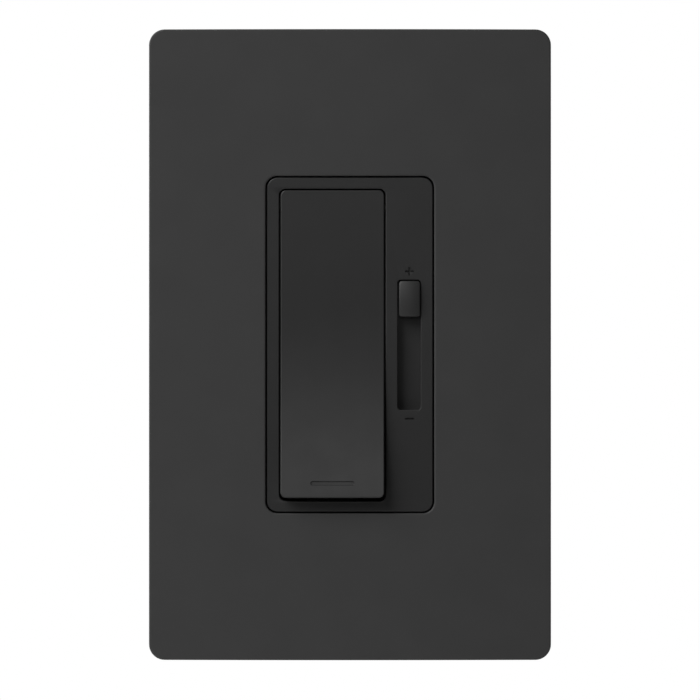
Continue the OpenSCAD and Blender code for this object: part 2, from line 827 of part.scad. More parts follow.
module fixed_contacts() {
    color("goldenrod") for (x = [-tip_x, tip_x])
        translate([well_x + x, 0, rocker_z]) {
            rod_y(tip_r, contact_y, 8.0);
            block([-1.1, 7.9, -1.4], [1.1, switch_base_y, 1.4]);
        }
}

// ---- Power parts ----

module transistor_bodies() {
    color("black") for (x = transistor_x) translate([x, 0, 0])
        block([-5.1, 0.2, transistor_bottom], [5.1, 4.7, transistor_split]);
}

module transistor_tabs() {
    color("silver") for (x = transistor_x) translate([x, 0, 0]) difference() {
        block([-5.1, 0.2, transistor_split], [5.1, transistor_tab_rear, transistor_top]);
        translate([0, 0, transistor_screw_z]) rod_y(transistor_hole_r, -1, 3);
    }
}

module transistor_leads() {
    color("silver") for (x = transistor_x, i = [-1, 0, 1]) translate([x + i * 2.54, 0, 0]) {
        translate([0, 2.6, 0]) rod_z(0.4, lead_z, transistor_bottom);
        translate([0, 0, lead_z]) rod_y(0.4, 2.6, board_rear + 1);
        translate([0, 2.6, lead_z]) sphere(0.4, $fn = 24);
    }
}

module insulator_pads() {
    color("tan") for (x = transistor_x) translate([x, 0, 0]) difference() {
        block([-5.4, 0, transistor_bottom - 0.4], [5.4, 0.2, transistor_top + 0.4]);
        translate([0, 0, transistor_screw_z]) rod_y(transistor_hole_r, -1, 3);
    }
}

module transistor_screws() {
    color("silver") for (x = transistor_x) translate([x, 0, transistor_screw_z])
        pan_screw(2.75, 1.7, transistor_bolt_r, strap_front, 4.4, 1.4);
}

module transistor_nuts() {
    color("silver") for (x = transistor_x)
        translate([x, transistor_tab_rear + nut_t, transistor_screw_z]) rotate([90, 0, 0]) difference() {
            cylinder(r = 3.1, h = nut_t, $fn = 6);
            translate([0, 0, -1]) cylinder(r = transistor_bolt_r + 0.05, h = nut_t + 2);
        }
}

// Ring section with round corners, turned round the Y axis
module toroid(inner, outer, half_t, r) {
    rotate([90, 0, 0]) rotate_extrude($fn = 96)
        translate([(inner + outer) / 2, 0]) round_outline(outer - inner, 2 * half_t, r);
}

module choke_core() {
    color("dimgrey") translate([choke_x, choke_y, choke_z]) toroid(4.9, 9.9, 3.9, 0.5);
}

module choke_winding() {
    color("chocolate") translate([choke_x, choke_y, choke_z]) difference() {
        toroid(3.9, 10.9, 4.9, 1.4);
        toroid(4.85, 9.95, 3.95, 0.5);
    }
}

module film_capacitor() {
    color("steelblue") {
        block([-8, board_rear + 0.4, -22], [12, 24, -8.5]);
        for (x = [-5.5, 9.5]) translate([x, 0, -15]) rod_y(0.4, board_rear, board_rear + 1);
    }
}

module electrolytic_capacitor() {
    color("navy") translate([12, 0, 3]) rod_y(3.5, board_rear, 22);
}

module surge_disc() {
    color("steelblue") translate([-10, 16, -5]) {
        rod_z(4.2, -1.7, 1.7);
        for (x = [-2.5, 2.5]) translate([x, 0, 0]) rod_y(0.35, -16 + board_rear, 0);
    }
}

module fuse_tube() {
    color("white") translate([0, 13.4, 25]) {
        rod_x(2.2, -7.5, 7.5);
        for (x = [-6.8, 6.8]) translate([x, 0, 0]) rod_y(0.4, -13.4 + board_rear, 0);
    }
}

module control_chip() {
    color("black") translate([-5, 0, -3]) {
        block([-4.9, 7.6, -1.95], [4.9, 8.85, 1.95]);
        for (i = [-3.5:1:3.5], s = [-1, 1])
            translate([i * 1.27, 0, s * 2.4]) block([-0.2, 8.3, -0.6], [0.2, board_front, 0.6]);
    }
}

module chip_resistors() {
    color("black") for (x = [-13.5, -10.5, 0.5, 3.5], z = [-8.6, 2.6])
        translate([x, 0, z]) block([-0.8, 8.4, -1.6], [0.8, board_front, 1.6]);
}

wall_plate();
plate_carrier();
carrier_screws();
face_frame();
paddle();
slider_knob();
dust_shutter();
insulating_sheet();
mounting_strap();
box_screws();
screw_retainers();
ground_screw();
housing();
housing_screws();
terminal_plates();
terminal_screws();
circuit_board();
board_screws();
switch_cover();
switch_base();
switch_plunger();
plunger_spring();
contact_rocker();
rocker_tips();
common_terminal();
fixed_contacts();
pot_frame();
pot_track();
pot_carriage();
pot_wiper();
transistor_bodies();
transistor_tabs();
transistor_leads();
insulator_pads();
transistor_screws();
transistor_nuts();
choke_core();
choke_winding();
film_capacitor();
electrolytic_capacitor();
surge_disc();
fuse_tube();
control_chip();
chip_resistors();
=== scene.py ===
"""Looks of the slide dimmer: detailed trim, softened hardware, procedural materials, lights and camera."""
import json
import math

import bmesh
import bpy
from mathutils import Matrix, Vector
from mathutils.geometry import tessellate_polygon

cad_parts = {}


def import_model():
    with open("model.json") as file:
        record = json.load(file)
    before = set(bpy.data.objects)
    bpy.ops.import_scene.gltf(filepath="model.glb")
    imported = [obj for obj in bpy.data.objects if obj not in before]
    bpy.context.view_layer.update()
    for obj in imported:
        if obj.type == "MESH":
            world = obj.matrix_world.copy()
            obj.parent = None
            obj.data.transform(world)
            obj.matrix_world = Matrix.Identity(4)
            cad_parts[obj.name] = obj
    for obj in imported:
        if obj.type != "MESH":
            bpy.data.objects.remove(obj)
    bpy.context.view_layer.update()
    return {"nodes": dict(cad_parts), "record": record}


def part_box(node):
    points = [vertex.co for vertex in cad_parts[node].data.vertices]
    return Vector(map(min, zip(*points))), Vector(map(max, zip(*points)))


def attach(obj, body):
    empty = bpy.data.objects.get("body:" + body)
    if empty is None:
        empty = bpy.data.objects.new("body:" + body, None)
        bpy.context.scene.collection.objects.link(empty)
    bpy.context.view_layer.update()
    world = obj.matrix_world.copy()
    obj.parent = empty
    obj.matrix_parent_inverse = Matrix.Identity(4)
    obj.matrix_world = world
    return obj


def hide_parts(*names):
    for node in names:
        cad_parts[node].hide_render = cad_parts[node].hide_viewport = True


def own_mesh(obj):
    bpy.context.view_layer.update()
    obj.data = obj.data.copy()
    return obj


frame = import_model()
NODES = frame["nodes"]
MM = 0.001
QUARTER = math.pi / 2


def box_mm(node):
    low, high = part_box(node)
    return [1000 * c for c in low], [1000 * c for c in high]


# Sizes of the trim, in millimetres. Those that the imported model's boxes give are read from it.
PLATE_LOW, PLATE_HIGH = box_mm("wall_plate")
FACE_FRONT = box_mm("face_frame")[0][1]
SHEET_FRONT = box_mm("insulating_sheet")[0][1]
KNOB_LOW, KNOB_HIGH = box_mm("slider_knob")

PLATE_W = PLATE_HIGH[0] - PLATE_LOW[0]
PLATE_H = PLATE_HIGH[2] - PLATE_LOW[2]
PLATE_FRONT = PLATE_LOW[1]
PLATE_CORNER = 3.1
PLATE_CROWN = 1.0
PLATE_WALL = 1.8
PLATE_SKIN = 2.0
PLATE_FILLET = 0.3
CROWN_RADIUS = ((PLATE_W / 2) ** 2 + PLATE_CROWN ** 2) / (2 * PLATE_CROWN)
OPENING = (33.4, 66.8, 2.3)
OPENING_FILLET = 0.28
COLLAR = 1.2
COLLAR_REAR = -3.9
RIM_CHAMFER = 0.2
CAVITY_CHAMFER = 0.1
PRY_HALF = 3.5
PRY_DEPTH = 1.6
CATCH_HALF = 6
CATCH_FRONT = -1.5
CATCH_REAR = -0.6
CATCH_REACH = 1.0
CATCH_SIDE_Z = (-38, 0, 38)
CATCH_END_X = (-20, 20)

REVEAL = 0.28
FACE_W = OPENING[0] - 2 * REVEAL
FACE_H = OPENING[1] - 2 * REVEAL
FACE_CORNER = 2.1
FACE_SKIN_REAR = FACE_FRONT + 2.0
FACE_SIDE = 1.25
STRAP_FRONT = -1.6
FACE_FILLET = 0.22
SLOT_FILLET = 0.13
OVERLAP = 0.3
WEB = 1.2
LEG = (15.22, 16.32)
LEG_HALF = 2.5
LEG_REAR = 1.25
LEG_Z = (-22, 22)
HOOK = (16.1, 16.97)
HOOK_FRONT = 0.05

WELL = (21.08, 61.88, 1.3)
WELL_X = -3.47
WELL_Z = -0.06
SLOT = (4.62, 25.76, 0.6)
SLOT_X = 11.73
SLOT_Z = -0.07
MARK_X = 11.77
PLUS_Z = 14.5
MINUS_Z = -14.68
MARK_HALF = 0.85
MARK_THIN = 0.18
MARK_DEPTH = 0.32

SWEEP_RADIUS = 220.0
SWEEP_TOP = 6.0
SWEEP_BOTTOM = -26.0
FLAT_LEVELS = [29.0, 20.0, 12.0]
SWEEP_SLOPE = math.asin((SWEEP_TOP - SWEEP_BOTTOM) / SWEEP_RADIUS)
PADDLE_HALF = WELL[0] / 2 - REVEAL
PADDLE_TOP = WELL_Z + WELL[1] / 2 - REVEAL
PADDLE_BOTTOM = WELL_Z - WELL[1] / 2 + 0.71
PADDLE_CORNER = 1.1
PADDLE_FILLET = 0.22
PADDLE_SKIN = 1.6
PADDLE_SIDE = 1.3
PADDLE_SIDE_REAR = -2.1
PRESS_TAN = math.tan(math.radians(2))
HINGE = (-3.6, 27.5)
HINGE_PAD = 2.5
PIN_RADIUS = 0.9
PIN_LEFT = 1.0
PIN_RIGHT = 1.2
RIB_HALF = 0.6
RIB_FRONT = -5.6
RIB_FRONT_LOW = -6.5
RIB_REAR = -4.0
RIB_TOP = 27
RIB_STEP = -12
RIB_BOTTOM = -27
CROSS_RIB_Z = (8, -8, -25)
CROSS_RIB_REAR = -4.9
PLUNGER_Z = -16.5
POST_RADIUS = 2.0
POST_FRONT = -7.0
POST_REAR = -3.5
STOP_LIP_HALF = 5
BAR = (8.6, 0.8)
BAR_Z = -27.4
BAR_DEPTH = 0.3

KNOB_X = 11.82
KNOB_SPREAD = 0.06
KNOB_REAR = -4.85
KNOB_SINK = 0.3
KNOB_DOME = 18.0
KNOB_ROLL = 8.5
KNOB_FILLET = 0.16

SPRING_RADIUS = 1.9
SPRING_WIRE = 0.4
SPRING_TURNS = 4
CHOKE_BORE = 3.9
CHOKE_WIRE = 0.42
CHOKE_TURNS = 46

# Sizes of the stage, in metres, and the camera's sensor, in millimetres
CAMERA_DISTANCE = 0.9
VIEW_WIDTH = 0.1386
CAMERA_Z = -0.00106
SENSOR_WIDTH = 36.0
FLOOR_RADIUS = 0.8
FLOOR_Z = -0.4


# ---- Outlines ----

def rounded(w, h, r, cx=0.0, cz=0.0, corner=8, side=1):
    """Points round a rounded rectangle, as (x, z), with each straight side cut into equal steps."""
    corners = []
    for q, (sx, sz) in enumerate([(1, 1), (-1, 1), (-1, -1), (1, -1)]):
        middle = (cx + sx * (w / 2 - r), cz + sz * (h / 2 - r))
        angles = [QUARTER * (q + i / corner) for i in range(corner + 1)]
        corners.append([(middle[0] + r * math.cos(a), middle[1] + r * math.sin(a)) for a in angles])
    points = []
    for q in range(4):
        points.extend(corners[q])
        start = corners[q][-1]
        end = corners[(q + 1) % 4][0]
        for i in range(1, side):
            t = i / side
            points.append((start[0] + t * (end[0] - start[0]), start[1] + t * (end[1] - start[1])))
    return points


def rounded_outline(size, cx=0.0, cz=0.0, hole=False, corner=8, side=1):
    """Function from an inset to an outline: an inset shrinks a solid and widens a hole."""
    w, h, r = size
    sign = -1 if hole else 1

    def outline(inset):
        i = sign * inset
        return rounded(w - 2 * i, h - 2 * i, max(r - i, 0.04), cx, cz, corner, side)
    return outline


def bar_outline(half_w, half_h, cx, cz):
    def outline(inset):
        return rounded(2 * (half_w + inset), 2 * (half_h + inset), half_h + inset - 0.02, cx, cz, 6)
    return outline


def plus_outline(cx, cz):
    def outline(inset):
        a = MARK_THIN + inset
        b = MARK_HALF + inset
        corners = [(b, -a), (b, a), (a, a), (a, b), (-a, b), (-a, a), (-b, a), (-b, -a)]
        corners += [(-a, -a), (-a, -b), (a, -b), (a, -a)]
        return [(cx + x, cz + z) for x, z in corners]
    return outline


def minus_outline(cx, cz):
    def outline(inset):
        a = MARK_THIN + inset
        b = MARK_HALF + inset
        return [(cx + b, cz - a), (cx + b, cz + a), (cx - b, cz + a), (cx - b, cz - a)]
    return outline


def circle_outline(r, cx=0.0, cz=0.0, count=40):
    def outline(inset):
        angles = [2 * math.pi * i / count for i in range(count)]
        return [(cx + (r - inset) * math.cos(a), cz + (r - inset) * math.sin(a)) for a in angles]
    return outline


# ---- Shapes ----

class Shape:
    """Vertices and faces in millimetres, gathered from parts and made into one object."""

    def __init__(self):
        self.verts = []
        self.faces = []

    def add(self, points):
        start = len(self.verts)
        self.verts.extend(points)
        return list(range(start, len(self.verts)))

    def bridge(self, first, second):
        count = len(first)
        for i in range(count):
            j = (i + 1) % count
            self.faces.append((first[i], first[j], second[j], second[i]))

    def loft(self, rings, close=False):
        numbers = [self.add(ring) for ring in rings]
        for first, second in zip(numbers, numbers[1:]):
            self.bridge(first, second)
        if close:
            self.bridge(numbers[-1], numbers[0])
        return numbers

    def fill(self, loops):
        points = [[Vector(self.verts[i]) for i in loop] for loop in loops]
        numbers = [i for loop in loops for i in loop]
        for triangle in tessellate_polygon(points):
            self.faces.append(tuple(numbers[k] for k in triangle))

    def prism(self, outline, start, end, soft=0.12, axis="y", steps=2):
        """Closed prism with rounded ends. The outline lies across the axis."""
        turn = {"y": lambda a, t, b: (a, t, b), "x": lambda a, t, b: (t, a, b),
                "z": lambda a, t, b: (a, b, t)}[axis]
        profile = []
        for i in range(steps + 1):
            angle = QUARTER * i / steps
            profile.append((soft * (1 - math.sin(angle)), start + soft * (1 - math.cos(angle))))
        profile += [(inset, start + end - t) for inset, t in reversed(profile)]
        rings = [[turn(a, t, b) for a, b in outline(inset)] for inset, t in profile]
        numbers = self.loft(rings)
        self.fill([numbers[0]])
        self.fill([numbers[-1]])

    def block(self, low, high, soft=0.12):
        """Box with softened edges, carried along Y."""
        size = (high[0] - low[0], high[2] - low[2], min(soft * 1.5, 0.3))
        middle = ((low[0] + high[0]) / 2, (low[2] + high[2]) / 2)
        self.prism(rounded_outline(size, middle[0], middle[1], corner=3), low[1], high[1], soft)


def shade(obj, angle=40):
    """Smooth shading with normals weighted by face size, and sharp only where faces meet steeply."""
    mesh = obj.data
    bm = bmesh.new()
    bm.from_mesh(mesh)
    bmesh.ops.recalc_face_normals(bm, faces=bm.faces)
    for face in bm.faces:
        face.smooth = True
    limit = math.radians(angle)
    for edge in bm.edges:
        steep = len(edge.link_faces) == 2 and edge.calc_face_angle() > limit
        edge.smooth = not steep
    bm.to_mesh(mesh)
    bm.free()
    weighted = obj.modifiers.new("even_normals", "WEIGHTED_NORMAL")
    weighted.mode = "FACE_AREA"
    weighted.weight = 70
    weighted.keep_sharp = True


def outward(mesh):
    """Turns every face of a closed mesh to look outwards."""
    bm = bmesh.new()
    bm.from_mesh(mesh)
    bmesh.ops.recalc_face_normals(bm, faces=bm.faces)
    bm.to_mesh(mesh)
    bm.free()


def place(obj, node, body, material, slot):
    """Puts a finished piece on its body, in place of its CAD node."""
    obj.data.materials.clear()
    obj.data.materials.append(material)
    shade(obj)
    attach(obj, body)
    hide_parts(node)
    return obj


def as_object(shape, name):
    """Mesh object of a shape, in metres and linked to the scene."""
    mesh = bpy.data.meshes.new(name)
    mesh.from_pydata([[c * MM for c in v] for v in shape.verts], [], shape.faces)
    mesh.update()
    obj = bpy.data.objects.new(name, mesh)
    bpy.context.scene.collection.objects.link(obj)
    return obj


def build(shape, name, node, body, material, slot):
    return place(as_object(shape, name), node, body, material, slot)


def carve(obj, low, high):
    """Cuts a box out of a piece."""
    cutter = Shape()
    cutter.prism(rounded_outline((high[0] - low[0], high[2] - low[2], 0.2),
                                 (low[0] + high[0]) / 2, (low[2] + high[2]) / 2), low[1], high[1], 0.05)
    tool = as_object(cutter, "cutter")
    outward(tool.data)
    outward(obj.data)
    cut = obj.modifiers.new("notch", "BOOLEAN")
    cut.object = tool
    cut.operation = "DIFFERENCE"
    cut.solver = "EXACT"
    bpy.context.view_layer.update()
    result = bpy.data.meshes.new_from_object(obj.evaluated_get(bpy.context.evaluated_depsgraph_get()))
    obj.modifiers.clear()
    obj.data = result
    bpy.data.objects.remove(tool)


# ---- Node materials ----

class Tree:
    """Builds a node material step by step."""

    def __init__(self, name):
        self.material = bpy.data.materials.new(name)
        self.material.use_nodes = True
        self.nodes = self.material.node_tree.nodes
        self.links = self.material.node_tree.links
        self.shader = self.nodes["Principled BSDF"]
        self.place = self.nodes.new("ShaderNodeTexCoord").outputs["Object"]

    def link(self, source, target):
        self.links.new(source, target)

    def stretch(self, scale):
        node = self.nodes.new("ShaderNodeMapping")
        node.inputs["Scale"].default_value = scale
        self.link(self.place, node.inputs["Vector"])
        return node.outputs["Vector"]

    def noise(self, size_mm, detail=2.0, vector=None, rough=0.5):
        node = self.nodes.new("ShaderNodeTexNoise")
        node.inputs["Scale"].default_value = 1000.0 / size_mm
        node.inputs["Detail"].default_value = detail
        node.inputs["Roughness"].default_value = rough
        self.link(vector or self.place, node.inputs["Vector"])
        return node.outputs["Fac"]

    def remap(self, source, low, high, new_low, new_high):
        node = self.nodes.new("ShaderNodeMapRange")
        node.inputs["From Min"].default_value = low
        node.inputs["From Max"].default_value = high
        node.inputs["To Min"].default_value = new_low
        node.inputs["To Max"].default_value = new_high
        self.link(source, node.inputs["Value"])
        return node.outputs["Result"]

    def mix(self, factor, first, second):
        """Blend of two colours, each a socket or a plain colour."""
        node = self.nodes.new("ShaderNodeMix")
        node.data_type = "RGBA"
        self.link(factor, node.inputs["Factor"])
        for value, socket in ((first, node.inputs[6]), (second, node.inputs[7])):
            if isinstance(value, bpy.types.NodeSocket):
                self.link(value, socket)
            else:
                socket.default_value = (*value[:3], 1.0)
        return node.outputs[2]

    def add(self, first, second):
        node = self.nodes.new("ShaderNodeMath")
        node.operation = "ADD"
        self.link(first, node.inputs[0])
        self.link(second, node.inputs[1])
        return node.outputs[0]

    def edges(self, low=0.52, high=0.62):
        """One along convex edges, for lightening them: partly burnish where handling rubs a surface,
        partly a painted highlight along the fillets.
        """
        node = self.nodes.new("ShaderNodeNewGeometry")
        return self.remap(node.outputs["Pointiness"], low, high, 0.0, 1.0)

    def bump(self, height, depth_mm, strength):
        node = self.nodes.new("ShaderNodeBump")
        node.inputs["Distance"].default_value = depth_mm * MM
        node.inputs["Strength"].default_value = strength
        self.link(height, node.inputs["Height"])
        self.link(node.outputs["Normal"], self.shader.inputs["Normal"])


def scaled(colour, factor):
    return [min(1.0, c * factor) for c in colour]


def plastic(name, colour, rough=0.5, grain=0.25, depth=0.006, mottle=0.03, edge_rub_and_highlight=0.12, specular=0.5,
            patchy=0.03):
    """Moulded plastic: fine spark-eroded grain, faint mottling, and convex edges lightened partly as
    burnish and partly as a painted highlight.
    """
    tree = Tree(name)
    broad = tree.remap(tree.noise(9.0, 3.0), 0.3, 0.7, 0.0, 1.0)
    fine = tree.noise(grain, 2.0)
    mid = tree.noise(grain * 7, 2.0)
    base = tree.mix(broad, scaled(colour, 1 - mottle), scaled(colour, 1 + mottle))
    # Convex edges lightened: partly burnish, partly a painted highlight standing in for the light the
    # fillets catch.
    rubbed_and_highlit = tree.mix(tree.remap(tree.edges(), 0.0, 1.0, 0.0, edge_rub_and_highlight), base, scaled(colour, 2.2))
    tree.link(rubbed_and_highlit, tree.shader.inputs["Base Color"])
    tree.link(tree.remap(mid, 0.3, 0.7, rough - patchy, rough + patchy), tree.shader.inputs["Roughness"])
    tree.shader.inputs["Specular IOR Level"].default_value = specular
    tree.bump(fine, depth, 0.5)
    return tree.material


def metal(name, colour, rough=0.32, stretch=(1.0, 1.0, 0.03), line=0.12, depth=0.004, tarnish=0.1):
    """Rolled, drawn or plated metal: fine lines along one direction, blotches, and convex edges lightened
    partly as burnish and partly as a painted highlight.
    """
    tree = Tree(name)
    lines = tree.noise(line, 3.0, tree.stretch(stretch), 0.6)
    blotch = tree.remap(tree.noise(3.5, 4.0), 0.35, 0.7, 0.0, 1.0)
    base = tree.mix(blotch, scaled(colour, 1 - tarnish), colour)
    # Convex edges lightened: partly burnish, partly a painted highlight.
    edge_burnish_and_highlight = tree.mix(tree.edges(), base, scaled(colour, 1.15))
    tree.link(edge_burnish_and_highlight, tree.shader.inputs["Base Color"])
    tree.link(tree.remap(lines, 0.3, 0.7, rough - 0.07, rough + 0.08), tree.shader.inputs["Roughness"])
    tree.shader.inputs["Metallic"].default_value = 1.0
    tree.bump(lines, depth, 0.6)
    return tree.material


def laminate(name, colour):
    """Green solder mask over copper tracks that show as faint raised bands."""
    tree = Tree(name)
    cells = tree.nodes.new("ShaderNodeTexVoronoi")
    cells.distance = "MANHATTAN"
    cells.feature = "F2"
    cells.inputs["Scale"].default_value = 220.0
    tree.link(tree.place, cells.inputs["Vector"])
    track = tree.remap(cells.outputs["Distance"], 0.62, 0.66, 0.0, 1.0)
    tree.link(tree.mix(track, colour, scaled(colour, 2.1)), tree.shader.inputs["Base Color"])
    weave = tree.noise(0.6, 2.0, tree.stretch((1.0, 1.0, 0.2)))
    tree.link(tree.remap(weave, 0.3, 0.7, 0.24, 0.36), tree.shader.inputs["Roughness"])
    tree.bump(track, 0.03, 0.6)
    return tree.material


def sleeve(name, colour, rough=0.25):
    """Glossy dipped or shrunk coating with a slight orange peel."""
    tree = Tree(name)
    peel = tree.noise(1.2, 2.0)
    tree.link(tree.mix(tree.noise(4.0), scaled(colour, 0.92), scaled(colour, 1.08)),
              tree.shader.inputs["Base Color"])
    tree.link(tree.remap(peel, 0.3, 0.7, rough - 0.05, rough + 0.06), tree.shader.inputs["Roughness"])
    tree.shader.inputs["Coat Weight"].default_value = 0.3
    tree.bump(peel, 0.02, 0.4)
    return tree.material


MATERIALS = {
    "plate_graphite": plastic("plate_graphite", (0.047, 0.047, 0.047), 0.4, 0.5, 0.002, specular=0.15,
                              patchy=0.012),
    "face_graphite": plastic("face_graphite", (0.026, 0.026, 0.026), 0.3, 0.5, 0.002, specular=0.3,
                             patchy=0.012),
    "knob_graphite": plastic("knob_graphite", (0.025, 0.025, 0.025), 0.45, 0.5, 0.002, specular=0.35,
                             patchy=0.012),
    "carrier_black": plastic("carrier_black", (0.026, 0.026, 0.028), 0.6, 0.4, 0.012),
    # Insulating sheet: a real part, made near-black so that it also stands in for the shade deep in the
    # gaps round the paddle and knob (painted shade).
    "film_black": plastic("film_black", (0.008, 0.008, 0.008), 0.6, 0.3, 0.004),
    "housing_black": plastic("housing_black", (0.02, 0.02, 0.022), 0.55, 0.35, 0.014, 0.06),
    "strap_aluminium": metal("strap_aluminium", (0.78, 0.78, 0.79), 0.36),
    "zinc_steel": metal("zinc_steel", (0.66, 0.67, 0.70), 0.4, (1.0, 1.0, 1.0), 0.6, 0.002, 0.08),
    "ground_green": metal("ground_green", (0.05, 0.36, 0.12), 0.34, (1.0, 1.0, 1.0), 0.6, 0.008, 0.2),
    "white_nylon": plastic("white_nylon", (0.74, 0.73, 0.69), 0.42, 0.6, 0.01, 0.02, 0.0),
    "brass": metal("brass", (0.80, 0.60, 0.27), 0.3, (1.0, 0.05, 1.0), 0.15, 0.004, 0.22),
    "board_green": laminate("board_green", (0.012, 0.09, 0.035)),
    "switch_grey": plastic("switch_grey", (0.1, 0.1, 0.11), 0.5, 0.4, 0.01),
    "spring_steel": metal("spring_steel", (0.6, 0.6, 0.61), 0.25, (1.0, 1.0, 1.0), 0.3, 0.003),
    "silver_contact": metal("silver_contact", (0.86, 0.86, 0.85), 0.22, (1.0, 1.0, 1.0), 0.3, 0.003),
    "pot_steel": metal("pot_steel", (0.66, 0.66, 0.64), 0.34, (1.0, 1.0, 0.04), 0.15, 0.004, 0.14),
    "phenolic": plastic("phenolic", (0.20, 0.09, 0.03), 0.45, 0.8, 0.01, 0.15),
    "package_black": plastic("package_black", (0.018, 0.018, 0.018), 0.62, 0.2, 0.012),
    "tinned_metal": metal("tinned_metal", (0.72, 0.72, 0.71), 0.3, (1.0, 1.0, 0.1), 0.3, 0.004, 0.12),
    "insulator_pad": plastic("insulator_pad", (0.42, 0.43, 0.43), 0.7, 0.5, 0.02, 0.05, 0.0),
    "ferrite": plastic("ferrite", (0.05, 0.05, 0.055), 0.48, 0.5, 0.03, 0.12),
    "winding_copper": metal("winding_copper", (0.72, 0.28, 0.10), 0.24, (1.0, 1.0, 1.0), 0.4, 0.003, 0.2),
    "film_yellow": sleeve("film_yellow", (0.66, 0.42, 0.05), 0.3),
    "sleeve_dark": sleeve("sleeve_dark", (0.015, 0.025, 0.08)),
    "disc_blue": sleeve("disc_blue", (0.03, 0.13, 0.40)),
    "ceramic_white": sleeve("ceramic_white", (0.78, 0.77, 0.72)),
}
SLOTS = {part["node"]: part["material_slot"] for part in frame["record"]["subparts"]}
BODIES = {node: body for body, nodes in frame["record"]["behaviour"]["bodies"].items() for node in nodes}


def finish_of(node):
    return BODIES[node], MATERIALS[SLOTS[node]], SLOTS[node]


# ---- Wall plate ----

def crown_y(x, inset=0.0):
    radius = CROWN_RADIUS - inset
    return PLATE_FRONT + CROWN_RADIUS - math.sqrt(radius ** 2 - x ** 2)


def plate_points(size, corner=10, side=16):
    return rounded(size[0], size[1], max(size[2], 0.05), 0.0, 0.0, corner, side)


def crowned(size, depth=0.0, inset=0.0):
    return [(x, crown_y(x, inset) + depth, z) for x, z in plate_points(size)]


def level(size, y):
    return [(x, y, z) for x, z in plate_points(size)]


def grown(size, amount):
    return (size[0] + 2 * amount, size[1] + 2 * amount, size[2] + amount)


def between(first, second, t):
    return tuple(a + t * (b - a) for a, b in zip(first, second))


def plate_rings():
    """Loops round the plate's skin: collar, opening, crowned face, rim, cavity and back to the collar."""
    outer = (PLATE_W, PLATE_H, PLATE_CORNER)
    face_inner = grown(OPENING, OPENING_FILLET)
    face_outer = grown(outer, -PLATE_FILLET)
    cavity = grown(outer, -PLATE_WALL)
    collar = (OPENING[0] + 2 * COLLAR, OPENING[1] + 2 * COLLAR, OPENING[2])
    rings = [level(OPENING, COLLAR_REAR)]
    for i in range(5):
        a = QUARTER * i / 4
        rings.append(crowned(grown(OPENING, OPENING_FILLET * (1 - math.cos(a))),
                             OPENING_FILLET * (1 - math.sin(a))))
    for t in [0.01] + [i / 10 for i in range(1, 10)] + [0.99]:
        rings.append(crowned(between(face_inner, face_outer, t)))
    for i in range(7):
        a = QUARTER * i / 6
        rings.append(crowned(grown(outer, -PLATE_FILLET * (1 - math.sin(a))),
                             PLATE_FILLET * (1 - math.cos(a))))
    rings.append(level(outer, -RIM_CHAMFER))
    rings.append(level(grown(outer, -RIM_CHAMFER), 0.0))
    rings.append(level(grown(cavity, CAVITY_CHAMFER), 0.0))
    rings.append(level(cavity, -CAVITY_CHAMFER))
    for i in range(5):
        rings.append(crowned(between(cavity, collar, i / 4), 0.0, PLATE_SKIN))
    rings.append(level(collar, COLLAR_REAR))
    return rings


def wall_plate():
    """Crowned cover with a notch in its lower rim, for the tool that pries it off."""
    shape = Shape()
    shape.loft(plate_rings(), close=True)
    obj = as_object(shape, "trim_wall_plate")
    lower_edge = -PLATE_H / 2
    carve(obj, (-PRY_HALF, -PRY_DEPTH, lower_edge - 2), (PRY_HALF, 1.0, lower_edge + PLATE_WALL + 0.9))
    place(obj, "wall_plate", *finish_of("wall_plate"))
    plate_catches()


def plate_catches():
    """Catches inside the plate's walls, which snap onto the carrier."""
    catches = Shape()
    inner_x = PLATE_W / 2 - PLATE_WALL
    inner_z = PLATE_H / 2 - PLATE_WALL
    for s in (-1, 1):
        for z in CATCH_SIDE_Z:
            x = sorted((s * (inner_x - CATCH_REACH), s * (inner_x + OVERLAP)))
            catches.block((x[0], CATCH_FRONT, z - CATCH_HALF), (x[1], CATCH_REAR, z + CATCH_HALF), 0.15)
        for x in CATCH_END_X:
            z = sorted((s * (inner_z - CATCH_REACH), s * (inner_z + OVERLAP)))
            catches.block((x - CATCH_HALF, CATCH_FRONT, z[0]), (x + CATCH_HALF, CATCH_REAR, z[1]), 0.15)
    build(catches, "trim_plate_catches", "wall_plate", *finish_of("wall_plate"))


# ---- Face frame ----

def walls(shape, outline, front, rear, fillet, steps=4):
    """Wall with a rounded front edge. Returns its front and rear loops."""
    rings = []
    for i in range(steps + 1):
        a = QUARTER * i / steps
        y = front + fillet * (1 - math.cos(a))
        rings.append([(x, y, z) for x, z in outline(fillet * (1 - math.sin(a)))])
    rings.append([(x, rear, z) for x, z in outline(0.0)])
    numbers = shape.loft(rings)
    return numbers[0], numbers[-1]


